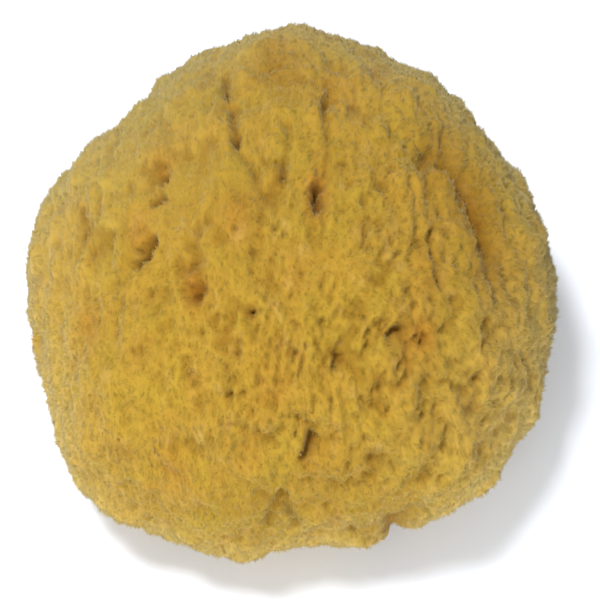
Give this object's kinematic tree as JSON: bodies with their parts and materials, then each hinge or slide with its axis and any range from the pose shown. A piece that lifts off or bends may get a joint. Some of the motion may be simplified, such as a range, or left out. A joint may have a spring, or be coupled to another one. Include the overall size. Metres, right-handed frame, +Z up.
{
  "type": "sea sponge",
  "caption": "Dried natural sea sponge, a rounded golden cushion with a soft tufted skin, furrows and dark canal mouths, cut flat underneath.",
  "frame": {"origin": "middle of the flat cut that the sponge rests on", "axes": "+Z up out of the cut, -Y towards the front, where the lowest lip of the outline is"},
  "size_m": [0.1433, 0.1499, 0.0821],
  "materials": {
    "sponge": "matt, soft fibre, golden ochre"
  },
  "bodies": {
    "root": {"sponge": "sponge"}
  },
  "joints": []
}
